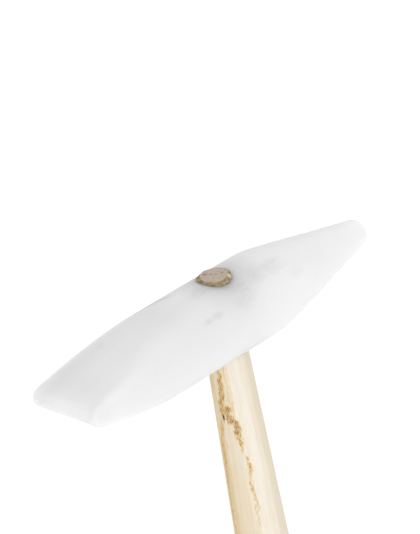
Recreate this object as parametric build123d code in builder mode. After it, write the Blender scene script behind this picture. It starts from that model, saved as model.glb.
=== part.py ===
"""Forming mallet: a solid white plastic head on a turned wooden handle.

The head is one round bar laid across the handle. One end is worked to a wedge with a full-round
striking edge, the other to a blunt cone with a domed tip. The handle has a round tenon that goes
right through the head and stands a little proud of it, with its end grain showing on top, and its
shoulder is scribed to the underside of the bar. Nothing on the tool moves.

Frame: +Z runs up the handle from the centre of its butt, +X points to the cone, and Y runs
along the wedge's edge.
"""
import os
from math import asin, cos, radians, sin, sqrt, tan

from build123d import *

os.makedirs("parts", exist_ok=True)

# Head, in mm
head_radius = 16.0
head_half_length = 76.0

wedge_half_angle = 14.0       # each flat, measured from the bar's axis
edge_radius = 4.0             # full round along the striking edge
wedge_edge_radius = 1.2       # every edge between the wedge and the round of the bar

cone_start = 21.5             # from the handle's axis
tip_radius = 5.5
cone_blend_radius = 22.0      # soft turn from the bar into the cone

bore_radius = 6.25

# Handle, in mm
handle_length = 290.0
tenon_radius = 6.2
tenon_proud = 0.5             # how far the tenon stands above the bar
tenon_chamfer_width = 1.2
neck_radius = 7.75            # at the lowest point of the shoulder
neck_chamfer = 0.4
neck_growth = 0.028           # radius gained for each mm below the shoulder
taper_length = 72.0           # straight taper below the shoulder
grip_radius = 12.2
grip_height = 92.0
butt_radius = 10.9
butt_rise = 12.0              # height where the grip has come in to the butt radius
butt_round = 4.0

# Heights
head_height = handle_length - tenon_proud - head_radius
shoulder_height = head_height - head_radius
taper_foot = shoulder_height - taper_length
taper_foot_radius = neck_radius + neck_growth * taper_length
neck_top = head_height - sqrt(head_radius**2 - neck_radius**2)
neck_top_radius = neck_radius - neck_growth * (neck_top - shoulder_height)

side_plane = Plane(origin=(0, 0, head_height), x_dir=(1, 0, 0), z_dir=(0, -1, 0))
top_plane = Plane(origin=(0, 0, head_height))
bar_end_plane = Plane(origin=(0, 0, head_height), z_dir=(1, 0, 0))

# Head: side outline of the revolved bar with its cone and dome
tip_centre = head_half_length - tip_radius
cone_run = tip_centre - cone_start
cone_reach = sqrt(cone_run**2 + head_radius**2)
cone_slope = asin(head_radius / cone_reach) - asin(tip_radius / cone_reach)
dome_start = (tip_centre + tip_radius * sin(cone_slope), tip_radius * cos(cone_slope))
dome_middle = (tip_centre + tip_radius * sqrt(0.5), tip_radius * sqrt(0.5))

# Head: side outline of the wedge, a round edge with a flat rising from each side of it
edge_centre = -head_half_length + edge_radius
slope = radians(wedge_half_angle)
flat_start_x = edge_centre - edge_radius * sin(slope)
flat_start_z = edge_radius * cos(slope)
wedge_height = 1.5 * head_radius        # well clear of the bar
flat_end_x = flat_start_x + (wedge_height - flat_start_z) / tan(slope)

with BuildPart() as head:
    with BuildSketch(side_plane) as bar_outline:
        with BuildLine():
            Polyline(
                (tip_centre + tip_radius, 0),
                (-head_half_length, 0),
                (-head_half_length, head_radius),
                (cone_start, head_radius),
                dome_start,
            )
            ThreePointArc(dome_start, dome_middle, (tip_centre + tip_radius, 0))
        make_face()
        bar_end = bar_outline.vertices().sort_by_distance((cone_start, head_radius))[0]
        fillet(bar_end, radius=cone_blend_radius)
    revolve(axis=Axis(side_plane.origin, (1, 0, 0)))

    with BuildSketch(side_plane) as wedge_outline:
        with BuildLine():
            ThreePointArc(
                (flat_start_x, -flat_start_z),
                (-head_half_length, 0),
                (flat_start_x, flat_start_z),
            )
            Polyline(
                (flat_start_x, flat_start_z),
                (flat_end_x, wedge_height),
                (head_half_length, wedge_height),
                (head_half_length, -wedge_height),
                (flat_end_x, -wedge_height),
                (flat_start_x, -flat_start_z),
            )
        make_face()
    extrude(amount=wedge_height, both=True, mode=Mode.INTERSECT)
    bar_wall = head.faces().filter_by(GeomType.CYLINDER).sort_by(SortBy.AREA)[-1]
    flat_sides = bar_wall.edges().filter_by(GeomType.ELLIPSE)
    edge_ends = bar_wall.edges().filter_by(GeomType.BSPLINE)
    fillet(flat_sides + edge_ends, radius=wedge_edge_radius)

    with Locations(top_plane):
        Hole(radius=bore_radius)
head.part.label = "head"
export_step(head.part, "parts/head.step")

with BuildPart() as handle:
    with BuildSketch(Plane.XZ):
        with BuildLine():
            Polyline(
                (butt_radius, butt_rise),
                (butt_radius - butt_rise * neck_growth, 0),
                (0, 0),
                (0, neck_top),
                (neck_top_radius, neck_top),
                (taper_foot_radius, taper_foot),
            )
            Spline(
                (taper_foot_radius, taper_foot),
                (grip_radius, grip_height),
                (butt_radius, butt_rise),
                tangents=[(neck_growth, -1), (-neck_growth, -1)],
            )
        make_face()
    revolve(axis=Axis.Z)
    butt_edge = handle.edges().group_by(Axis.Z)[0]
    fillet(butt_edge, radius=butt_round)

    # The shoulder is scribed to the underside of the round bar
    with BuildSketch(bar_end_plane):
        Circle(head_radius)
    extrude(amount=neck_radius * 2, both=True, mode=Mode.SUBTRACT)
    neck_edges = handle.edges().filter_by_position(Axis.Z, taper_foot + 1, head_height)
    chamfer(neck_edges.filter_by(GeomType.BSPLINE), length=neck_chamfer)

    with BuildSketch(Plane.XY.offset(taper_foot)):
        Circle(tenon_radius)
    extrude(amount=handle_length - taper_foot)
    tenon_edge = handle.edges().group_by(Axis.Z)[-1]
    chamfer(tenon_edge, length=tenon_proud, length2=tenon_chamfer_width)
handle.part.label = "handle"
export_step(handle.part, "parts/handle.step")
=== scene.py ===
"""Looks for the forming mallet: a scraped white nylon head on a turned wooden handle.

Both CAD pieces are replaced by finer meshes of the same size and place. Lengths named _mm are in
millimetres and are scaled to metres when a mesh is made. In the head's own coordinates x runs along
the bar towards the cone, y across it and z up, from the middle of the bar.
"""

from math import asin, cos, pi, radians, sin, sqrt, tan

import bpy
import numpy as np
from mathutils import Matrix, Vector, noise


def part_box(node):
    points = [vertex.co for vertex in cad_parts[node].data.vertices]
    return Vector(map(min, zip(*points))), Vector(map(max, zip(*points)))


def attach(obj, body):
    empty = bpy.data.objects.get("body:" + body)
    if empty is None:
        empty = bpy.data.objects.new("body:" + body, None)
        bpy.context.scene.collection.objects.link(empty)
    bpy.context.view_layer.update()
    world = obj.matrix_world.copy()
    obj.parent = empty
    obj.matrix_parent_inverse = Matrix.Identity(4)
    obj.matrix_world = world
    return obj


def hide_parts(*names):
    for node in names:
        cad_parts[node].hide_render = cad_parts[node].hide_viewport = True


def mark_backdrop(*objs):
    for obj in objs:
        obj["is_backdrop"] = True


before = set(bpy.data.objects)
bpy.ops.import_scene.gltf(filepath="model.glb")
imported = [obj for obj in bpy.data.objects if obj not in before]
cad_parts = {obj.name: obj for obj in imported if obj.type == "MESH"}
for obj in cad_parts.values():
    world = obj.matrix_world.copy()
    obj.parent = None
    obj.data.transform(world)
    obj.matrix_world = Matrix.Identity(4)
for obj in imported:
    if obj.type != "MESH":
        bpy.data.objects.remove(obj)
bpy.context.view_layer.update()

MM = 0.001
head_low, head_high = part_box("head")
handle_low, handle_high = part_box("handle")
head_centre = (head_low + head_high) / 2

# Head: its size is the frame's, and its shape has the CAD model's driving dimensions. The twist,
# the rubbed near crease, the larger rounding of the striking edge's two ends and the lean of the
# bore are in the looks only.
half_length_mm = (head_high.x - head_low.x) / 2 / MM
bar_radius_mm = (head_high.y - head_low.y) / 2 / MM
wedge_slope = radians(14.0)
wedge_twist = radians(2.0)    # the upper flat is cut that much flatter along its near side
edge_radius_mm = 4.0
near_corner_mm = 2.4          # rounding of the striking edge's two ends
far_corner_mm = 1.6
corner_outset_mm = 0.5        # how far outside the bar the sides of that rounding stand
wedge_softness_mm = 0.6
near_softness_mm = 3.4        # the near crease is rubbed softer than the others as it rises
rub_width_mm = 4.0            # the rubbing grows to full over this much of the bar's near half,
rub_lead_mm = 14.0            # and along the bar from this far before the striking edge
rub_length_mm = 55.0
cone_start_mm = 21.5
cone_softness_mm = 0.9
tip_radius_mm = 5.5
bore_radius_mm = 6.25
bore_rim_mm = 0.25

# Handle
handle_length_mm = (handle_high.z - handle_low.z) / MM
grip_radius_mm = (handle_high.y - handle_low.y) / 2 / MM
grip_height_mm = 92.0
tenon_radius_mm = 6.2
tenon_shift_mm = (-0.4, -0.8)  # the bore leans a little, and comes out off the middle of the bar
tenon_turn = radians(-40)     # the direction along which the nicks in its end are placed
# Torn nicks in the tenon's end: place beside and away along its two directions, radius and depth
tenon_nicks = [(-3.0, 1.8, 1.3, 0.34), (-0.7, 0.7, 0.55, 0.26), (0.85, 0.45, 0.6, 0.32),
               (3.1, 0.45, 0.95, 0.34), (-4.9, -1.2, 0.6, 0.26)]
neck_radius_mm = 7.75
neck_chamfer_mm = 0.2         # worn smaller than in the CAD model
neck_growth = 0.028
taper_length_mm = 72.0
butt_radius_mm = 10.9
butt_rise_mm = 12.0
butt_round_mm = 4.0
bar_middle_mm = head_centre.z / MM
shoulder_mm = bar_middle_mm - bar_radius_mm
figure_side = radians(-130)   # the side of the handle with the most figure in its grain


# ---------------------------------------------------------------- head shape

def smooth_max(a, b, softness):
    """The larger of two distances, rounded over where they are nearly equal."""
    near = np.maximum(softness - np.abs(a - b), 0) / softness
    return np.maximum(a, b) + near**2 * softness / 4


def rounded_taper(along, out, slope, radius):
    """Distance outside a taper whose point is a circle of that radius; along is from its centre."""
    beside = out * np.cos(slope) - along * np.sin(slope) - radius
    past_end = along * np.cos(slope) + out * np.sin(slope) < 0
    return np.where(past_end, np.hypot(along, out) - radius, beside)


tip_centre_mm = half_length_mm - tip_radius_mm
cone_reach = sqrt((tip_centre_mm - cone_start_mm) ** 2 + bar_radius_mm**2)
cone_slope = asin(bar_radius_mm / cone_reach) - asin(tip_radius_mm / cone_reach)
edge_centre_mm = edge_radius_mm - half_length_mm


def head_distance(x, y, z):
    """About zero on the head's surface, negative inside it."""
    out = np.hypot(y, z)
    cone = rounded_taper(tip_centre_mm - x, out, cone_slope, tip_radius_mm)
    bar = smooth_max(out - bar_radius_mm, cone, cone_softness_mm)
    slope = wedge_slope + np.where(z > 0, wedge_twist * (y / bar_radius_mm - 1) / 2, 0)
    wedge = rounded_taper(x - edge_centre_mm, np.abs(z), slope, edge_radius_mm)
    near_side = np.clip(-y / rub_width_mm, 0, 1)
    risen = np.clip((x + half_length_mm + rub_lead_mm) / rub_length_mm, 0, 1)
    rubbed = near_side * risen * (z > 0)
    corner_radius = np.where(y > 0, far_corner_mm, near_corner_mm)
    into_corner = np.maximum(corner_radius - half_length_mm - x, 0)
    beside_corner = np.maximum(np.abs(y) - bar_radius_mm - corner_outset_mm + corner_radius, 0)
    corner = np.hypot(into_corner, beside_corner) - corner_radius
    softness = wedge_softness_mm + near_softness_mm * rubbed
    return np.maximum(smooth_max(bar, wedge, softness), corner)


SEARCH_SPAN = 1.5         # of the bar's radius, well outside the head
HALVINGS = 40


def section_radius(x, cosine, sine):
    """Distance from the bar's axis to the surface at x, in each direction, by halving."""
    low = np.zeros_like(cosine)
    high = np.full_like(cosine, SEARCH_SPAN * bar_radius_mm)
    for _ in range(HALVINGS):
        middle = (low + high) / 2
        outside = head_distance(x, middle * cosine, middle * sine) > 0
        high = np.where(outside, middle, high)
        low = np.where(outside, low, middle)
    return (low + high) / 2


SECTION_POINTS = 240
# Powers that crowd a section's points towards the creases: at most this much above 1 on the round
# sides, and this on the flats
ROUND_CROWDING = 0.5
FLAT_CROWDING = 1.5


def head_section(x):
    """One ring of points round the head at x, with points on each of the wedge's four creases."""
    height = section_radius(x, np.array([0.0]), np.array([1.0]))[0]
    width = section_radius(x, np.array([1.0]), np.array([0.0]))[0]
    crease = asin(min(height / width, sqrt(0.5)))
    share = np.arange(SECTION_POINTS // 8) / (SECTION_POINTS // 8)
    crowding = 1 + min(height / bar_radius_mm, ROUND_CROWDING)
    round_part = crease * (1 - (1 - share) ** crowding)
    flat_part = np.arctan2(sin(crease), cos(crease) * (1 - share**FLAT_CROWDING))
    quarter = np.concatenate([round_part, flat_part])
    direction = np.concatenate([quarter, pi - np.roll(quarter[::-1], 1), pi + quarter,
                                2 * pi - np.roll(quarter[::-1], 1)])
    direction[SECTION_POINTS // 4] = pi / 2
    direction[3 * SECTION_POINTS // 4] = 3 * pi / 2
    radius = section_radius(x, np.cos(direction), np.sin(direction))
    return [(x, r * cos(a), r * sin(a)) for r, a in zip(radius, direction)]


# ---------------------------------------------------------------- mesh helpers

SHARP_ANGLE = radians(38)


class MeshBuilder:
    """Collects points in millimetres and faces, and makes one object of them."""

    def __init__(self):
        self.points = []
        self.faces = []
        self.skins = {}

    def skin(self, number, first_face):
        """Gives a material slot to every face from first_face on."""
        self.skins.update((i, number) for i in range(first_face, len(self.faces)))

    def add(self, points):
        """Adds points and returns their numbers."""
        start = len(self.points)
        self.points.extend(points)
        return list(range(start, len(self.points)))

    def bridge(self, first, second, closed=True, skip=()):
        """Quads between two rows of points of the same length."""
        count = len(first)
        for i in range(count if closed else count - 1):
            if i not in skip:
                j = (i + 1) % count
                self.faces.append((first[i], first[j], second[j], second[i]))

    def fan(self, ring, centre, outward=True):
        """Triangles from a closed ring to one point."""
        for i, start in enumerate(ring):
            end = ring[(i + 1) % len(ring)]
            self.faces.append((start, end, centre) if outward else (end, start, centre))

    def make(self, name, origin):
        """The finished, smooth-shaded object, with the points measured from origin in metres."""
        mesh = bpy.data.meshes.new(name)
        placed = [Vector(p) * MM + origin for p in self.points]
        mesh.from_pydata(placed, [], self.faces)
        for face, number in self.skins.items():
            mesh.polygons[face].material_index = number
        mesh.validate()
        mesh.shade_smooth()
        mesh.set_sharp_from_angle(angle=SHARP_ANGLE)
        piece = bpy.data.objects.new(name, mesh)
        bpy.context.scene.collection.objects.link(piece)
        return piece


def steps(start, end, count, include_end=False):
    """Evenly spaced values from start towards end."""
    values = [start + (end - start) * i / count for i in range(count)]
    return values + [end] if include_end else values


# ---------------------------------------------------------------- materials

LEAST_RISE = 1e-3         # of a curve, so that a level one can be scaled too


class Recipe:
    """A material's nodes, added and linked so that a look reads as a few formulas."""

    def __init__(self, name):
        self.material = bpy.data.materials.new(name)
        self.material.use_nodes = True
        self.tree = self.material.node_tree
        self.shader = self.tree.nodes["Principled BSDF"]
        self.coordinates = self.node("ShaderNodeTexCoord").outputs
        self.place = self.coordinates["Object"]

    def node(self, kind, values=None, **settings):
        """A node with its settings made and its inputs linked or filled in."""
        node = self.tree.nodes.new(kind)
        for name, value in settings.items():
            setattr(node, name, value)
        for key, value in (values or {}).items():
            if isinstance(value, bpy.types.NodeSocket):
                self.tree.links.new(value, node.inputs[key])
            else:
                node.inputs[key].default_value = value
        return node

    def math(self, operation, *values):
        return self.node("ShaderNodeMath", dict(enumerate(values)), operation=operation).outputs[0]

    def along(self, direction):
        """Distance from the origin along a direction, in millimetres."""
        scaled = [value / MM for value in direction]
        node = self.node("ShaderNodeVectorMath", {0: self.place, 1: scaled},
                         operation="DOT_PRODUCT")
        return node.outputs["Value"]

    def reach(self, place_mm, half_sizes_mm):
        """Distance from a place, where 1 is the surface of an ellipsoid of those half-sizes."""
        scale = [1 / (size * MM) for size in half_sizes_mm]
        shift = [-place / size for place, size in zip(place_mm, half_sizes_mm)]
        scaled = self.node("ShaderNodeVectorMath", {0: self.place, 1: scale, 2: shift},
                           operation="MULTIPLY_ADD").outputs[0]
        return self.node("ShaderNodeVectorMath", {0: scaled}, operation="LENGTH").outputs["Value"]

    def level(self, value, low, high, to_low=0.0, to_high=1.0, smooth=True):
        """The value eased from one range to another and held at its ends."""
        return self.node(
            "ShaderNodeMapRange",
            {"Value": value, "From Min": low, "From Max": high,
             "To Min": to_low, "To Max": to_high},
            interpolation_type="SMOOTHSTEP" if smooth else "LINEAR",
        ).outputs["Result"]

    def speckle(self, size_mm, seed, detail=3.0, roughness=0.55):
        """Noise about 0.5 with cells of the given size along x, y and z."""
        shrink = [1 / (size * MM) for size in size_mm]
        offset = (seed, -seed, 2 * seed)
        place = self.node("ShaderNodeVectorMath", {0: self.place, 1: shrink, 2: offset},
                          operation="MULTIPLY_ADD").outputs[0]
        return self.node("ShaderNodeTexNoise", {"Vector": place, "Scale": 1.0, "Detail": detail,
                                                "Roughness": roughness}).outputs["Fac"]

    def curve(self, value, points):
        """A smooth curve through (input, output) points, level beyond its ends."""
        inputs, outputs = zip(*points)
        start, end, low = inputs[0], inputs[-1], min(outputs)
        rise = max(max(outputs) - low, LEAST_RISE)
        share = self.level(value, start, end, smooth=False)
        node = self.node("ShaderNodeFloatCurve", {"Value": share})
        line = node.mapping.curves[0]
        line.points[0].location = (0, (outputs[0] - low) / rise)
        line.points[1].location = (1, (outputs[-1] - low) / rise)
        for x, y in points[1:-1]:
            line.points.new((x - start) / (end - start), (y - low) / rise)
        node.mapping.update()
        return self.level(node.outputs["Value"], 0, 1, low, low + rise, smooth=False)

    def blend(self, share, first, second):
        """A colour between two colours."""
        factor, colour_a, colour_b, mixed = 0, 6, 7, 2
        return self.node("ShaderNodeMix", {factor: share, colour_a: first, colour_b: second},
                         data_type="RGBA").outputs[mixed]

    def relief(self, height, distance_mm, below=None):
        """A bump of that depth, over another one where it is given."""
        values = {"Height": height, "Strength": 1.0, "Distance": distance_mm * MM}
        if below is not None:
            values["Normal"] = below
        return self.node("ShaderNodeBump", values).outputs["Normal"]

    def finish(self, **inputs):
        """Links or sets the shader's inputs, named with _ for spaces, and gives the material."""
        for name, value in inputs.items():
            socket = self.shader.inputs[name.replace("_", " ")]
            if isinstance(value, bpy.types.NodeSocket):
                self.tree.links.new(value, socket)
            else:
                socket.default_value = value
        return self.material

    def distance(self, a, b):
        """Distance from the point where two measures are both zero."""
        return self.math("SQRT", self.math("ADD", self.math("POWER", a, 2),
                                           self.math("POWER", b, 2)))


def grey(value):
    return (value, value, value, 1)


# Grey patches of painted shade on the head: place in mm, half-length along the bar, half-width and
# strength
SHADE_PATCHES = [
    ((12.0, -8.8, 13.4), 8.0, 4.5, 0.42), ((19.5, -9.4, 13.0), 8.0, 3.8, 0.42),
    ((27.5, -12.8, 7.4), 4.0, 2.5, 0.2), ((5.0, -10.0, 12.4), 8.0, 5.0, 0.36),
    ((1.0, -13.4, 8.7), 6.0, 3.2, 0.3), ((-12.4, -13.3, 9.0), 3.4, 1.6, 0.4),
    ((-16.6, -13.3, 8.8), 2.4, 1.5, 0.4), ((-10.5, -4.0, 15.5), 5.0, 3.0, 0.35),
    ((30.0, 10.0, 6.0), 6.0, 3.0, 0.4), ((-30.0, 8.0, 11.5), 4.0, 2.0, 0.4),
]


# Painted light: how much lighter the nylon is painted along the bar (x in mm, share), on top and on
# the near side
PAINTED_LIGHT_TOP = [(-76, 0.2), (-66, 0.3), (-52, 0.9), (-36, 0.6), (-20, 0.0), (10, 0.3), (38, 0.3),
             (58, 0.1), (76, 0.0)]
PAINTED_LIGHT_SIDE = [(-76, 0.0), (-18, 0.0), (0, 0.5), (25, 0.7), (45, 0.3), (60, 0.0)]

BORE_SHADE = 0.40         # strength of the painted shade round the bore's mouth
SOILED_SHARE = 0.2
SHADOW_GREY = (0.50, 0.50, 0.49, 1)


def nylon():
    """Scraped and rubbed white nylon, translucent, with painted light and painted shade in its
    colour.
    """
    look = Recipe("white_nylon")
    x, y = look.along((1, 0, 0)), look.along((0, 1, 0))
    z = look.math("SUBTRACT", look.along((0, 0, 1)), bar_middle_mm)
    # Painted shade round the bore's mouth, darkest next to it
    shade = look.math("MULTIPLY", look.level(look.distance(x, y), 19, 6), BORE_SHADE)
    cloud = look.speckle((30, 16, 16), 3)
    scrape = look.speckle((14, 0.9, 0.9), 5, detail=2)
    grit = look.speckle((0.7, 0.7, 0.7), 6, detail=2)
    patchy = look.speckle((4.5, 2.2, 2.2), 8, detail=4, roughness=0.6)
    rubbed = look.level(patchy, 0.36, 0.62, 0.35, 1)
    soiled = look.level(look.speckle((11, 6, 6), 8, detail=5), 0.62, 0.80)
    # Random dirt, raised by grey patches of painted shade at the listed places
    dirt_and_shade = look.math("MULTIPLY", soiled, SOILED_SHARE)
    for (along, across, up), half_length, half_width, strength in SHADE_PATCHES:
        reach = look.reach((along, across, up + bar_middle_mm),
                           (half_length, half_width, half_width))
        near = look.level(reach, 1.25, 0.2)
        dirt_and_shade = look.math("MAXIMUM", dirt_and_shade, look.math("MULTIPLY", near, strength))
    # Painted light: the top and the near side are painted lighter along the bar
    lighter_share = look.blend(look.level(y, -14.5, -9), look.curve(x, PAINTED_LIGHT_SIDE),
                       look.curve(x, PAINTED_LIGHT_TOP))
    lit = look.blend(lighter_share, look.blend(cloud, grey(0.75), grey(0.78)), grey(0.81))
    # Painted shade: the far side of the head is painted greyer
    far_side_shaded = look.blend(look.level(y, 0, 13, 0, 0.7), lit, grey(0.70))
    # Painted shade dims the near corner of the striking edge
    corner = look.reach((-half_length_mm, -bar_radius_mm, bar_middle_mm + 1), (9, 5, 9))
    # Painted shade along the wedge's far crease, where the surface faces away from the light
    normal_y = look.node("ShaderNodeSeparateXYZ", {0: look.coordinates["Normal"]}).outputs["Y"]
    flat_height = look.math("MULTIPLY_ADD", x, tan(wedge_slope),
                            edge_radius_mm / cos(wedge_slope) - edge_centre_mm * tan(wedge_slope))
    below_flat = look.math("SUBTRACT", flat_height, z)
    rim = look.math("MULTIPLY", look.level(normal_y, 0.05, 0.3), look.level(below_flat, 2.8, 0.8))
    far_rim_shade = look.math("MULTIPLY", rim, look.level(x, -6, -18))
    rim_shaded = look.blend(far_rim_shade, far_side_shaded, grey(0.56))
    body = look.blend(look.level(corner, 1.3, 0.1, 0, 0.5), rim_shaded, grey(0.66))
    # The dirt and the painted shade patches, broken up by a patchy noise
    soiled_and_shaded = look.blend(look.math("MULTIPLY", dirt_and_shade, rubbed), body, grey(0.56))
    from_speck = look.reach((-47.0, -12.9, bar_middle_mm + 9.5), (0.6, 0.6, 0.9))
    marked = look.blend(look.level(from_speck, 1.2, 0.5, 0, 0.8), soiled_and_shaded, grey(0.30))
    shaded = look.blend(shade, marked, SHADOW_GREY)
    rough = look.level(scrape, 0.3, 0.7, 0.50, 0.62)
    waves = look.relief(scrape, 0.05)
    normal = look.relief(grit, 0.012, waves)
    return look.finish(
        Base_Color=shaded, Roughness=rough, Normal=normal, IOR=1.53,
        Subsurface_Weight=1.0, Subsurface_Radius=(1.0, 1.0, 1.0), Subsurface_Scale=10.0 * MM,
    )


def wood_streak(look, turn, drop, stations, softness=9.0):
    """The share of stain in a streak through its stations, as STREAKS lists them."""
    centre = look.curve(drop, [(d, t) for d, t, _ in stations])
    width = look.curve(drop, [(d, w) for d, _, w in stations])
    off = look.math("ABSOLUTE", look.math("SUBTRACT", turn, centre))
    return look.level(look.math("SUBTRACT", width, off), -softness / 2, softness / 2)


# Mineral streaks: strength, and stations down the handle of (drop in mm, turn and half-width in
# degrees)
STREAKS = [
    (0.85, [(1.5, -34, -3), (3.5, -34, 5), (8, -36, 8), (11, -38, 9), (13.5, -39, 8),
            (15.5, -44, 8), (17.5, -46, 6.5), (19.5, -46, 6.5), (22, -43, 4), (24.5, -42, 1.5),
            (27, -42, -3)]),
    (1.0, [(9, -31, -3), (10.5, -33, 2.5), (13, -34, 4), (15, -37, 2.5), (18, -38, 2.5),
           (20, -40, 2.5), (22, -41, -3)]),
    (1.0, [(16, -27, -3), (17.2, -27, 8), (18.5, -27, 10), (19.4, -27, 8), (20, -27, -4)]),
    (1.0, [(20.1, -27, -4), (20.8, -27, 8.5), (22, -27, 8), (23.3, -26, 5), (24.5, -25, -3)]),
    (0.95, [(19.5, -19, -3), (21.5, -17, 5), (23.5, -13, 9), (25.5, -11, 9), (27.5, -12, 8),
            (29.5, -12, 5), (31.5, -9, 4), (34, -8, 2.5), (36, -7, -3)]),
    (0.5, [(22, -5, -2), (24, -5, 2.5), (28, -4, 3), (32, -4, 4), (34, -6, 2.5), (36, -6, -2)]),
    (0.7, [(22, -50, -3), (24, -52, 6.5), (26.5, -55, 8), (29, -58, 6.5), (31, -62, 8),
           (34, -64, 9), (38, -64, 9), (42, -66, 8), (46, -68, 8), (60, -70, 6.5), (80, -66, 4),
           (100, -72, -2)]),
    (0.5, [(3, -66, -3), (6, -66, 6.5), (9, -66, 8), (12, -67, 5), (15, -66, -2)]),
    (0.8, [(37, -1, -3), (38.3, 0, 4.5), (39.5, -1, 2.5), (41, 2, 4), (43, 4, 4.5), (44.2, 1, 4),
           (46, -1, 2.5), (50, -2, 3), (56, 2, 2.5), (64, 0, 2), (72, 2, -3)]),
    (0.55, [(0, -21, 4), (4, -20, 4), (8, -19, 3), (13, -20, 4), (15.5, -18, 4), (17, -18, -2)]),
    (0.5, [(0, -9, 1.5), (4, -9, 2.5), (9, -11, 2), (13, -11, 2.5), (16.5, -12, 4.5),
           (19, -13, 5), (21, -12, -1)]),
    (0.6, [(0, -36, 4), (2, -36, 6.5), (3.5, -36, 4), (5, -35, -2)]),
    (0.5, [(31.5, -44, -2), (33, -45, 4.5), (34.5, -44, 1.5), (36, -44, -2)]),
    (0.6, [(40, 150, -2), (60, 146, 2.5), (85, 152, 5), (110, 147, 2.5), (130, 150, 5),
           (150, 155, -2)]),
    (0.5, [(70, 60, -2), (90, 62, 2), (120, 57, 4), (150, 60, 2), (180, 66, -2)]),
    (0.6, [(100, -30, -2), (120, -28, 2.5), (150, -34, 5), (175, -31, 2), (200, -36, 4),
           (230, -33, -2)]),
]
# The edge of the browner wood, down the handle: (drop in mm, turn in degrees)
BROWN_EDGE = [(0, -8), (10, -6), (18, -5), (24, -3), (30, 0), (35, 2), (40, 3), (44, 6), (60, 3),
              (100, 8), (170, 2), (260, 5)]
# How brown the wood is, by degrees round the handle from that edge, and how much painted shade
# greys it, by turn
BROWNNESS = [(-180, 0.5), (-120, 0.4), (-68, 0.8), (-45, 0.48), (-22, 0.38), (-6, 0.32), (1, 0.05),
             (20, 0.06), (36, 0.16), (55, 0.3), (100, 0.25), (180, 0.5)]
SIDE_SHADE = [(-180, 0.3), (20, 0.0), (45, 0.24), (75, 0.6), (120, 0.5), (180, 0.3)]

PALE_WOOD = (0.87, 0.81, 0.715, 1)
BROWN_WOOD = (0.70, 0.53, 0.27, 1)
SHADED_WOOD = (0.66, 0.60, 0.49, 1)
FIBRE_BROWN = (0.66, 0.52, 0.32, 1)
STAIN_HALO = (0.83, 0.65, 0.34, 1)
STAIN_GOLD = (0.62, 0.38, 0.11, 1)
STAIN_CORE = (0.32, 0.16, 0.045, 1)
KNOT_DARK = (0.10, 0.06, 0.03, 1)
PORE_BROWN = (0.42, 0.28, 0.14, 1)

WANDER_DEGREES = 6        # how far the streaks stray and fray, round the handle and down it
FRAY_DEGREES = 26
TEAR_MM = 7
BAND_SHARE = 0.24
KNOT_TURN, KNOT_DROP_MM = -42, 21.4
KNOT_HALF_TURN, KNOT_HALF_DROP_MM = 4.2, 1.6


def strayed(look, value, noise_share, spread):
    """The value moved by up to half the spread either way, by a noise about 0.5."""
    return look.math("MULTIPLY_ADD", noise_share, spread, look.math("SUBTRACT", value, spread / 2))


def wood_side():
    """Pale, close-grained turned wood with golden-brown mineral streaks about a small knot."""
    look = Recipe("pale_wood")
    facing = look.along((cos(figure_side), sin(figure_side), 0))
    beside = look.along((-sin(figure_side), cos(figure_side), 0))
    angle = look.math("MULTIPLY", look.math("ARCTAN2", beside, facing), 180 / pi)
    drop = look.math("SUBTRACT", shoulder_mm, look.along((0, 0, 1)))

    wander = look.speckle((2.4, 2.4, 9), 2, detail=2)
    fray = look.speckle((0.55, 0.55, 1.7), 4, detail=3, roughness=0.7)
    moved = strayed(look, angle, wander, WANDER_DEGREES)
    turn = strayed(look, moved, fray, FRAY_DEGREES)
    torn = look.speckle((0.45, 0.45, 4), 14, detail=3, roughness=0.7)
    frayed_drop = strayed(look, drop, torn, TEAR_MM)

    fibre = look.speckle((0.35, 0.35, 7), 1, detail=4, roughness=0.65)
    band = look.speckle((1.8, 1.8, 70), 9, detail=3)
    from_edge = look.math("SUBTRACT", moved, look.curve(drop, BROWN_EDGE))
    tone = look.curve(from_edge, BROWNNESS)
    tint = strayed(look, tone, look.level(band, 0.3, 0.7), BAND_SHARE)
    base = look.blend(look.math("MAXIMUM", tint, 0.0), PALE_WOOD, BROWN_WOOD)
    # Painted shade: the wood is greyed down one side of the handle, by turn
    side_shaded = look.blend(look.curve(angle, SIDE_SHADE), base, SHADED_WOOD)
    grained = look.blend(look.level(fibre, 0.35, 0.72, 0, 0.22), side_shaded, FIBRE_BROWN)

    stain = None
    for strength, stations in STREAKS:
        share = look.math("MULTIPLY", wood_streak(look, turn, frayed_drop, stations), strength)
        stain = share if stain is None else look.math("MAXIMUM", stain, share)
    grain = look.speckle((0.36, 0.36, 1.5), 7, detail=3, roughness=0.75)
    halo = look.blend(look.level(stain, 0.02, 0.5, 0, 0.42), grained, STAIN_HALO)
    golden = look.math("MULTIPLY", look.level(stain, 0.3, 0.7),
                       look.level(grain, 0.38, 0.54, 0.25, 0.95))
    stained = look.blend(golden, halo, STAIN_GOLD)
    broken = look.math("MULTIPLY_ADD", grain, 1.9, look.math("SUBTRACT", stain, 0.85))
    core = look.math("MULTIPLY", look.level(broken, 0.85, 1.2), 0.8)
    cored = look.blend(core, stained, STAIN_CORE)

    from_knot = look.distance(
        look.math("DIVIDE", look.math("SUBTRACT", moved, KNOT_TURN), KNOT_HALF_TURN),
        look.math("DIVIDE", look.math("SUBTRACT", drop, KNOT_DROP_MM), KNOT_HALF_DROP_MM),
    )
    dark = look.blend(look.level(from_knot, 1.2, 0.4), cored, KNOT_DARK)
    pores = look.level(look.speckle((0.16, 0.16, 1.8), 12, detail=2), 0.66, 0.8)
    colour = look.blend(look.math("MULTIPLY", pores, 0.3), dark, PORE_BROWN)
    lathe = look.speckle((30, 30, 0.5), 13, detail=1)
    rough = look.level(fibre, 0.3, 0.7, 0.52, 0.66)
    normal = look.relief(pores, -0.04, look.relief(fibre, 0.05, look.relief(lathe, 0.02)))
    return look.finish(Base_Color=colour, Roughness=rough, Normal=normal, IOR=1.5)


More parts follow.
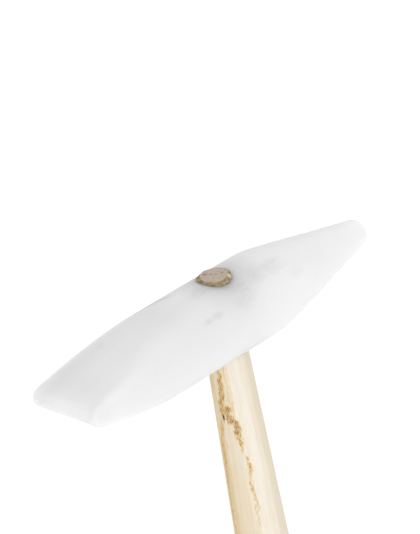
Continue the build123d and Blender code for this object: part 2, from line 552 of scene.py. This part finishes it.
def end_grain(name, face, pore, pith):
    """Growth rings and pores about an off-centre pith; returns the recipe, its colour and pores."""
    look = Recipe(name)
    wander = look.speckle((2, 2, 2), 21)
    x = look.math("SUBTRACT", look.along((1, 0, 0)), pith[0])
    y = look.math("SUBTRACT", look.along((0, 1, 0)), pith[1])
    reach = look.math("MULTIPLY", look.distance(x, y), 2.6)
    rings = look.math("SINE", look.math("MULTIPLY_ADD", wander, 14, reach))
    ringed = look.blend(look.level(rings, 0.2, 1.0, 0, 0.16), face, pore)
    dots = look.level(look.speckle((0.32, 0.32, 0.6), 22, detail=3, roughness=0.7), 0.52, 0.70)
    return look, look.blend(look.math("MULTIPLY", dots, 0.5), ringed, pore), dots


def tenon_grain():
    """The sawn end of the tenon, grey with handling, with painted shade in its nicks."""
    look, sawn, dots = end_grain("tenon_end_grain", (0.56, 0.465, 0.385, 1), (0.27, 0.20, 0.13, 1),
                                 (14, 9))
    mottle = look.level(look.speckle((1.1, 1.1, 1.1), 35, detail=4), 0.5, 0.7, 0, 0.45)
    face = look.blend(mottle, sawn, (0.40, 0.30, 0.20, 1))
    # Painted shade in each torn nick
    for nick_beside, nick_away, radius, _ in tenon_nicks:
        wide = radius * 0.8
        reach = look.reach(tenon_place(nick_beside, nick_away), (wide, wide, 2))
        face = look.blend(look.level(reach, 1.1, 0.3, 0, 0.6), face, (0.20, 0.14, 0.07, 1))
    normal = look.relief(dots, -0.08, look.relief(look.speckle((0.5, 0.5, 0.5), 32), 0.12))
    return look.finish(Base_Color=face, Roughness=0.8, Normal=normal)


def tenon_place(beside, away):
    """A place on the tenon's end, beside and away along its own two directions."""
    return (beside * cos(tenon_turn) - away * sin(tenon_turn) + tenon_shift_mm[0],
            beside * sin(tenon_turn) + away * cos(tenon_turn) + tenon_shift_mm[1],
            handle_length_mm)


def tenon_bevel():
    """The browner hand-cut bevel round the tenon's end, with painted shade on its near side and one
    fresh cut in it.
    """
    look = Recipe("tenon_bevel_grain")
    away = look.along((-sin(tenon_turn), cos(tenon_turn), 0))
    patch = look.level(look.speckle((1.6, 1.6, 1.2), 33, detail=4), 0.40, 0.66)
    near = look.blend(patch, (0.22, 0.155, 0.075, 1), (0.42, 0.33, 0.19, 1))
    # Painted shade: the bevel is darker on its near side than away from it
    bevel = look.blend(look.level(away, 0, 5), near, (0.50, 0.44, 0.35, 1))
    lighter_share = look.level(look.reach(tenon_place(5.6, -1.8), (1.5, 1.5, 2)), 1.2, 0.3, 0, 0.8)
    cut = look.blend(lighter_share, bevel, (0.80, 0.66, 0.42, 1))
    normal = look.relief(look.speckle((0.5, 0.5, 0.5), 32), 0.15)
    return look.finish(Base_Color=cut, Roughness=0.8, Normal=normal)


def butt_grain():
    """The sanded end of the grip, as pale as the side."""
    look, colour, dots = end_grain("butt_end_grain", (0.70, 0.61, 0.46, 1), (0.46, 0.34, 0.2, 1),
                                   (17, -6))
    normal = look.relief(dots, -0.04)
    return look.finish(Base_Color=colour, Roughness=0.7, Normal=normal)


def paper():
    """The pale floor, with a very faint tooth."""
    look = Recipe("floor_paper")
    tooth = look.speckle((1.5, 1.5, 1.5), 41)
    return look.finish(
        Base_Color=look.blend(tooth, grey(0.90), grey(0.93)), Roughness=0.9,
        Normal=look.relief(tooth, 0.02), Emission_Color=grey(1), Emission_Strength=0.17,
    )


# ---------------------------------------------------------------- head mesh

PATCH_HALF_MM = 9.6       # square round the bore, where the grid turns into rings
PATCH_COLUMNS = 18        # half its width, in points of a section
PATCH_ROWS = 16
PATCH_RINGS = 9
PATCH_CROWDING = 0.8      # below 1, the rings stand closer together towards the bore

# Numbers of sections along each stretch of the head, and where the end rows stop short of a point
EDGE_SECTIONS, FLAT_SECTIONS, CONE_SECTIONS, DOME_SECTIONS = 12, 54, 50, 14
EDGE_FIRST_TURN, DOME_LAST_TURN = 0.1, 1.48
EDGE_FAN_EXTRA = 4        # points that the fans at the striking edge's ends reach past a crease


def ring_places():
    """Where the sections stand along the bar: close together on the round ends."""
    edge_end = pi / 2 - wedge_slope
    edge = [edge_centre_mm - edge_radius_mm * cos(a)
            for a in steps(EDGE_FIRST_TURN, edge_end, EDGE_SECTIONS)]
    flat_start = edge_centre_mm - edge_radius_mm * cos(edge_end)
    cone_end = tip_centre_mm + tip_radius_mm * sin(cone_slope)
    dome = [tip_centre_mm + tip_radius_mm * sin(a)
            for a in steps(cone_slope, DOME_LAST_TURN, DOME_SECTIONS, True)]
    return (
        edge
        + steps(flat_start, -PATCH_HALF_MM, FLAT_SECTIONS)
        + steps(-PATCH_HALF_MM, PATCH_HALF_MM, PATCH_ROWS)
        + steps(PATCH_HALF_MM, cone_end, CONE_SECTIONS)
        + dome
    )


BROAD_FINISH_MM = 0.16    # height of the broad and of the small unevenness
SMALL_FINISH_MM = 0.04
CALM_RADIUS_MM = 7        # the surface is even up to here from the bore's axis,
CALM_FADE_MM = 5          # and the unevenness comes in over this width


def hand_finish(p):
    """How far the scraped and sanded surface stands off its ideal shape, in mm."""
    broad = noise.noise(Vector((p[0] / 24, p[1] / 13, p[2] / 13 + 4)))
    small = noise.noise(Vector((p[0] / 9, p[1] / 6 + 9, p[2] / 6)))
    off_bore = min(max((np.hypot(p[0], p[1]) - CALM_RADIUS_MM) / CALM_FADE_MM, 0), 1)
    return (BROAD_FINISH_MM * broad + SMALL_FINISH_MM * small) * off_bore


def hand_finished(points):
    """The points moved in or out along the surface's normal by the hand finish."""
    p = np.array(points, float)
    step = 0.05
    slopes = [head_distance(*(p + step * axis).T) - head_distance(*(p - step * axis).T)
              for axis in np.eye(3)]
    normals = np.stack(slopes, axis=1)
    normals /= np.linalg.norm(normals, axis=1, keepdims=True)
    depths = np.array([hand_finish(q) for q in p])
    return [tuple(q) for q in p + normals * depths[:, None]]


def patch_edge(rings, first_ring, middle):
    """The square of grid points round a bore mouth, in order."""
    low, high = middle - PATCH_COLUMNS, middle + PATCH_COLUMNS
    last_ring = first_ring + PATCH_ROWS
    side_a = [rings[first_ring][j] for j in range(low, high)]
    side_b = [rings[i][high] for i in range(first_ring, last_ring)]
    side_c = [rings[last_ring][j] for j in range(high, low, -1)]
    side_d = [rings[i][low] for i in range(last_ring, first_ring, -1)]
    return side_a + side_b + side_c + side_d


def bore_mouth(build, square, side):
    """Rings from the square of grid points in to the bore; side is 1 on top and -1 below."""
    ring = square
    corners = [build.points[i] for i in square]
    shift_x, shift_y = tenon_shift_mm if side > 0 else (0, 0)
    rim_radius = bore_radius_mm + bore_rim_mm
    for k in range(1, PATCH_RINGS + 1):
        share = (k / PATCH_RINGS) ** PATCH_CROWDING
        points = []
        for x, y, _ in corners:
            reach = np.hypot(x, y)
            scale = (reach + (rim_radius - reach) * share) / reach
            across = y * scale + shift_y * share
            points.append((x * scale + shift_x * share, across,
                           side * sqrt(bar_radius_mm**2 - across**2)))
        inner = build.add(points)
        build.bridge(ring, inner)
        ring = inner
    narrower = bore_radius_mm / rim_radius
    inside = [((x - shift_x) * narrower + shift_x, (y - shift_y) * narrower + shift_y,
               z - side * bore_rim_mm) for x, y, z in points]
    inner = build.add(inside)
    build.bridge(ring, inner)
    return inner


def make_head():
    build = MeshBuilder()
    places = ring_places()
    rings = [build.add(head_section(x)) for x in places]
    first_ring = min(range(len(places)), key=lambda i: abs(places[i] + PATCH_HALF_MM))
    top = SECTION_POINTS // 4
    bottom = 3 * SECTION_POINTS // 4
    patch_columns = [range(m - PATCH_COLUMNS, m + PATCH_COLUMNS) for m in (top, bottom)]
    for i, (ring, following) in enumerate(zip(rings, rings[1:])):
        at_bore = first_ring <= i < first_ring + PATCH_ROWS
        skip = {j for columns in patch_columns for j in columns} if at_bore else ()
        build.bridge(ring, following, skip=skip)
    tip = build.add([(half_length_mm, 0, 0)])[0]
    build.fan(rings[-1], tip)
    close_edge(build, rings[0])

    mouth_top = bore_mouth(build, patch_edge(rings, first_ring, top), 1)
    mouth_bottom = bore_mouth(build, patch_edge(rings, first_ring, bottom), -1)
    build_bore_wall(build, mouth_top, mouth_bottom)
    build.points = hand_finished(build.points)
    head = build.make("head_shape", head_centre)
    head.data.materials.append(nylon())
    return head


def close_edge(build, ring):
    """Closes the first section: a line of points along the striking edge, and a fan at each end."""
    half = len(ring) // 2
    end = SECTION_POINTS // 8 + EDGE_FAN_EXTRA
    between = range(end, half - end + 1)
    line = build.add([(-half_length_mm, build.points[ring[j]][1], 0) for j in between])
    build.bridge(line, [ring[j] for j in between], closed=False)
    build.bridge([ring[-j] for j in between], line, closed=False)
    for middle, centre in ((0, line[0]), (half, line[-1])):
        build.faces += [(ring[j + 1], ring[j], centre) for j in range(middle - end, middle + end)]


def build_bore_wall(build, mouth_top, mouth_bottom):
    """The wall of the through bore, matched point by point from mouth to mouth."""
    def by_turn(ring, shift):
        return sorted(ring, key=lambda i: np.arctan2(build.points[i][1] - shift[1],
                                                     build.points[i][0] - shift[0]))
    build.bridge(by_turn(mouth_top, tenon_shift_mm), by_turn(mouth_bottom, (0, 0)))


# ---------------------------------------------------------------- handle mesh

HANDLE_POINTS = 144
BUTT_RINGS, BUTT_ROUND_RINGS, SIDE_RINGS, TENON_RINGS = 8, 9, 105, 8
BEVEL_RINGS, END_RINGS = 8, 26

# The handle's material slots, in order
SIDE_SKIN, TENON_SKIN, BUTT_SKIN, BEVEL_SKIN = range(4)


def eased(x, x0, y0, slope0, x1, y1, slope1):
    """A smooth curve through two points with the given slopes."""
    span = x1 - x0
    t = (x - x0) / span
    return (
        (2 * t**3 - 3 * t**2 + 1) * y0
        + (t**3 - 2 * t**2 + t) * span * slope0
        + (3 * t**2 - 2 * t**3) * y1
        + (t**3 - t**2) * span * slope1
    )


taper_foot_mm = shoulder_mm - taper_length_mm
taper_foot_radius_mm = neck_radius_mm + neck_growth * taper_length_mm


def grip_radius_at(z):
    """Radius of the handle's side at height z, from the butt round up to the neck."""
    if z >= taper_foot_mm:
        return neck_radius_mm + neck_growth * (shoulder_mm - z)
    if z >= grip_height_mm:
        return eased(z, grip_height_mm, grip_radius_mm, 0,
                     taper_foot_mm, taper_foot_radius_mm, -neck_growth)
    if z >= butt_rise_mm:
        return eased(z, butt_rise_mm, butt_radius_mm, neck_growth,
                     grip_height_mm, grip_radius_mm, 0)
    return butt_radius_mm - neck_growth * (butt_rise_mm - z)


SCRIBED_MM = 8.0          # length of neck over which the rings bend to the scribed shoulder
TENON_FOOT_MM = 3         # height above the shoulder of the tenon's first ring
TENON_TOP_MM = 1.8        # of the tenon's length, made by tenon_end
RIM_SINK_MM = 0.1         # how far the tenon's rim starts below the bar's surface
CHIP_MM = 0.12            # greatest raggedness of the bevel


def bar_side(radius, turn, side):
    """Height of the bar's upper (1) or under (-1) side at that distance and direction."""
    return bar_middle_mm + side * sqrt(bar_radius_mm**2 - (radius * sin(turn)) ** 2)


def scribed(radius, z, turn):
    """Height of a point of the neck, raised near the shoulder to follow the bar's underside."""
    share = min(max((z - shoulder_mm + SCRIBED_MM) / SCRIBED_MM, 0), 1)
    return z + (bar_side(radius, turn, -1) - shoulder_mm) * share


def handle_profile():
    """(radius, height) pairs up the butt, and then up the side and the hidden part of the tenon."""
    round_radius = grip_radius_at(butt_round_mm)
    flat = round_radius - butt_round_mm
    butt = [(flat * k / BUTT_RINGS, 0) for k in range(1, BUTT_RINGS)]
    butt += [(flat + butt_round_mm * sin(a), butt_round_mm * (1 - cos(a)))
             for a in steps(0, pi / 2, BUTT_ROUND_RINGS)]
    side_top = shoulder_mm - neck_chamfer_mm
    side = [(grip_radius_at(z), z) for z in steps(butt_round_mm, side_top, SIDE_RINGS, True)]
    shoulder = [(neck_radius_mm - neck_chamfer_mm, shoulder_mm), (tenon_radius_mm, shoulder_mm)]
    tenon = [(tenon_radius_mm, z)
             for z in steps(shoulder_mm + TENON_FOOT_MM, handle_length_mm - TENON_TOP_MM,
                            TENON_RINGS, True)]
    return butt, side + shoulder, tenon


def leaning(x, y, z):
    """A point of the tenon, moved with the lean of the bore."""
    share = min(max((z - shoulder_mm) / (2 * bar_radius_mm), 0), 1)
    return (x + tenon_shift_mm[0] * share, y + tenon_shift_mm[1] * share, z)


def bevel_width(turn):
    """Width of the hand-cut bevel on the tenon's end: wider on two sides, and ragged all round."""
    ragged = noise.noise(Vector((3 * cos(turn), 3 * sin(turn), 7)))
    return 0.75 + 0.3 * cos(2 * (turn - tenon_turn)) + 0.4 * ragged + 0.5 * max(-cos(turn), 0)


def swelling(turn):
    """How far the driven end has spread over the rim of the bore."""
    return 0.15 + 0.15 * noise.noise(Vector((2 * cos(turn), 2 * sin(turn), 3)))


def sawn_depth(x, y):
    """How far the sawn end of the tenon lies below its highest point, with its torn nicks."""
    away = y * cos(tenon_turn) - x * sin(tenon_turn)
    beside = x * cos(tenon_turn) + y * sin(tenon_turn)
    depth = 0.05 + 0.05 * noise.noise(Vector((x * 1.6, y * 1.6, 2)))
    depth += 0.05 * max(-away, 0)
    depth += 0.04 * noise.noise(Vector((away * 5, beside * 0.8, 5)))
    for nick_beside, nick_away, radius, nick_depth in tenon_nicks:
        reach = np.hypot((beside - nick_beside) / radius, (away - nick_away) / (0.6 * radius))
        depth += nick_depth * max(1 - reach**2, 0)
    return depth


def tenon_end(build, ring, turns):
    """The rim, the bevel and the sawn end above the last ring of the tenon's side."""
    bevel_start = len(build.faces)
    end_start = bevel_start + (BEVEL_RINGS + 1) * len(ring)
    for k in range(BEVEL_RINGS + END_RINGS):
        share = min(k / BEVEL_RINGS, 1)
        inward = max(k - BEVEL_RINGS, 0) / END_RINGS
        points = []
        for a in turns:
            rim = tenon_radius_mm + swelling(a)
            off_middle = rim * sin(a) + tenon_shift_mm[1]
            foot = bar_middle_mm + sqrt(bar_radius_mm**2 - off_middle**2) - RIM_SINK_MM
            radius = (rim - (bevel_width(a) + rim - tenon_radius_mm) * share**1.6) * (1 - inward)
            x, y = radius * cos(a), radius * sin(a)
            height = foot + (handle_length_mm - foot) * share**0.8
            chipped = CHIP_MM * noise.noise(Vector((x * 1.3, y * 1.3, 11))) * sin(pi * share)
            points.append(leaning(x + chipped * cos(a), y + chipped * sin(a),
                                  height + chipped - sawn_depth(x, y) * share))
        upper = build.add(points)
        build.bridge(ring, upper)
        ring = upper
    middle = leaning(0, 0, handle_length_mm - sawn_depth(0, 0))
    build.fan(ring, build.add([middle])[0])
    build.skin(BEVEL_SKIN, bevel_start)
    build.skin(TENON_SKIN, end_start)


def make_handle():
    build = MeshBuilder()
    turns = [2 * pi * j / HANDLE_POINTS for j in range(HANDLE_POINTS)]
    butt, side, tenon = handle_profile()
    butt_rings = [build.add([(r * cos(a), r * sin(a), z) for a in turns]) for r, z in butt]
    side_rings = [build.add([(r * cos(a), r * sin(a), scribed(r, z, a)) for a in turns])
                  for r, z in side]
    side_rings += [build.add([leaning(r * cos(a), r * sin(a), z) for a in turns]) for r, z in tenon]
    for ring, following in zip(side_rings, side_rings[1:]):
        build.bridge(ring, following)
    butt_start = len(build.faces)
    for ring, following in zip(butt_rings, butt_rings[1:] + side_rings[:1]):
        build.bridge(ring, following)
    build.fan(butt_rings[0], build.add([(0, 0, 0)])[0], outward=False)
    build.skin(BUTT_SKIN, butt_start)
    tenon_end(build, side_rings[-1], turns)
    handle = build.make("handle_shape", Vector((0, 0, 0)))
    looks = {SIDE_SKIN: wood_side(), TENON_SKIN: tenon_grain(), BUTT_SKIN: butt_grain(),
             BEVEL_SKIN: tenon_bevel()}
    for slot in sorted(looks):
        handle.data.materials.append(looks[slot])
    return handle


# ---------------------------------------------------------------- stage, light and camera

def make_floor():
    bpy.ops.mesh.primitive_plane_add(size=8, location=(0, 0, 0))
    floor = bpy.context.object
    floor.name = "floor"
    floor.data.materials.append(paper())
    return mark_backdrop(floor)


def add_softbox(name, azimuth, distance, drop, width, height, power):
    """A soft area light round the head in that direction, lower than it by drop, that faces it."""
    outward = Vector((cos(azimuth), sin(azimuth), 0))
    light = bpy.data.lights.new(name, "AREA")
    light.shape = "RECTANGLE"
    light.size, light.size_y = width, height
    light.energy = power
    lamp = bpy.data.objects.new(name, light)
    lamp.location = head_centre + outward * distance - Vector((0, 0, drop))
    lamp.rotation_euler = (head_centre - lamp.location).to_track_quat("-Z", "Y").to_euler()
    lamp.visible_camera = False
    bpy.context.scene.collection.objects.link(lamp)


def light_room(level, front, azimuth):
    """A white dome of that strength, brighter by front on the azimuth's side, darker behind."""
    world = bpy.data.worlds.new("white_tent")
    world.use_nodes = True
    tree = world.node_tree
    direction = tree.nodes.new("ShaderNodeTexCoord")
    facing = tree.nodes.new("ShaderNodeVectorMath")
    facing.operation = "DOT_PRODUCT"
    facing.inputs[1].default_value = (front * cos(azimuth), front * sin(azimuth), 0)
    strength = tree.nodes.new("ShaderNodeMath")
    strength.operation = "ADD"
    strength.inputs[1].default_value = level
    background = tree.nodes["Background"]
    background.inputs["Color"].default_value = (1, 1, 1, 1)
    tree.links.new(direction.outputs["Generated"], facing.inputs[0])
    tree.links.new(facing.outputs["Value"], strength.inputs[0])
    tree.links.new(strength.outputs["Value"], background.inputs["Strength"])
    bpy.context.scene.world = world


def add_camera(target, azimuth, elevation, roll, distance, target_right, target_down, lens):
    """Looks along azimuth and down by elevation, with the target off the picture's middle."""
    forward = Vector((-sin(azimuth) * cos(elevation), cos(azimuth) * cos(elevation),
                      -sin(elevation)))
    level = Vector((cos(azimuth), sin(azimuth), 0))
    upright = level.cross(forward)
    right = cos(roll) * level - sin(roll) * upright
    up = cos(roll) * upright + sin(roll) * level
    camera = bpy.data.objects.new("camera", bpy.data.cameras.new("camera"))
    place = target - right * target_right + up * target_down - forward * distance
    turned = Matrix((right, up, -forward)).transposed().to_4x4()
    camera.matrix_world = Matrix.Translation(place) @ turned
    camera.data.lens = lens
    camera.data.clip_end = 100
    bpy.context.scene.collection.objects.link(camera)
    bpy.context.scene.camera = camera


head = make_head()
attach(head, "root")
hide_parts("head")

handle = make_handle()
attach(handle, "root")
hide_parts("handle")

make_floor()
light_room(level=0.90, front=0.19, azimuth=radians(-112))
add_softbox("front_softbox", radians(-112), 0.9, drop=0.1, width=1.2, height=0.3, power=0.65)
add_softbox("cone_softbox", radians(10), 0.9, drop=-0.4, width=0.5, height=0.5, power=1.0)
bpy.context.scene.view_settings.view_transform = "Standard"
add_camera(head_centre, azimuth=radians(-40.36), elevation=radians(25.16), roll=radians(10.73),
           distance=0.8858, target_right=0.00362, target_down=0.0171, lens=168.54)
